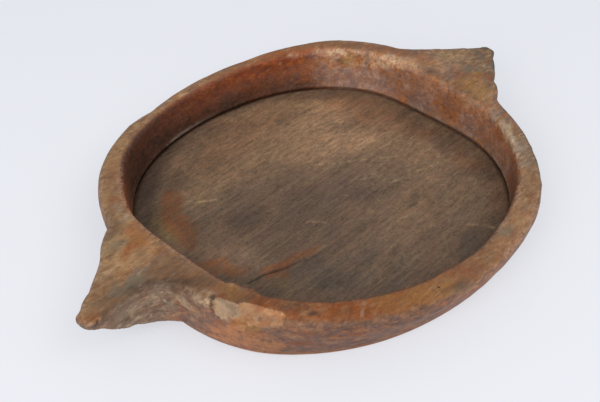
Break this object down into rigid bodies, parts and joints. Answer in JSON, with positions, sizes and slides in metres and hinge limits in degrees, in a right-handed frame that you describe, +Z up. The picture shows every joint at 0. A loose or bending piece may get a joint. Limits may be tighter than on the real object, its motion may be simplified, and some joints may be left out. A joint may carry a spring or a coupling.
{
  "type": "wooden bowl",
  "caption": "Shallow round wooden bowl with a hand-carved wall, pointed wing handles and a separate flat floor board held in a groove.",
  "frame": {"origin": "on the surface that the bowl stands on, in the middle of its overall length and width", "axes": "+X along the handles, towards the whole one; +Y across the bowl; +Z up, out of its mouth"},
  "size_m": [0.5604, 0.398, 0.061],
  "materials": {
    "wall_wood": "worn satin",
    "board_wood": "worn matt"
  },
  "bodies": {
    "root": {"bowl_wall": "wall_wood", "floor_board": "board_wood"}
  },
  "joints": []
}
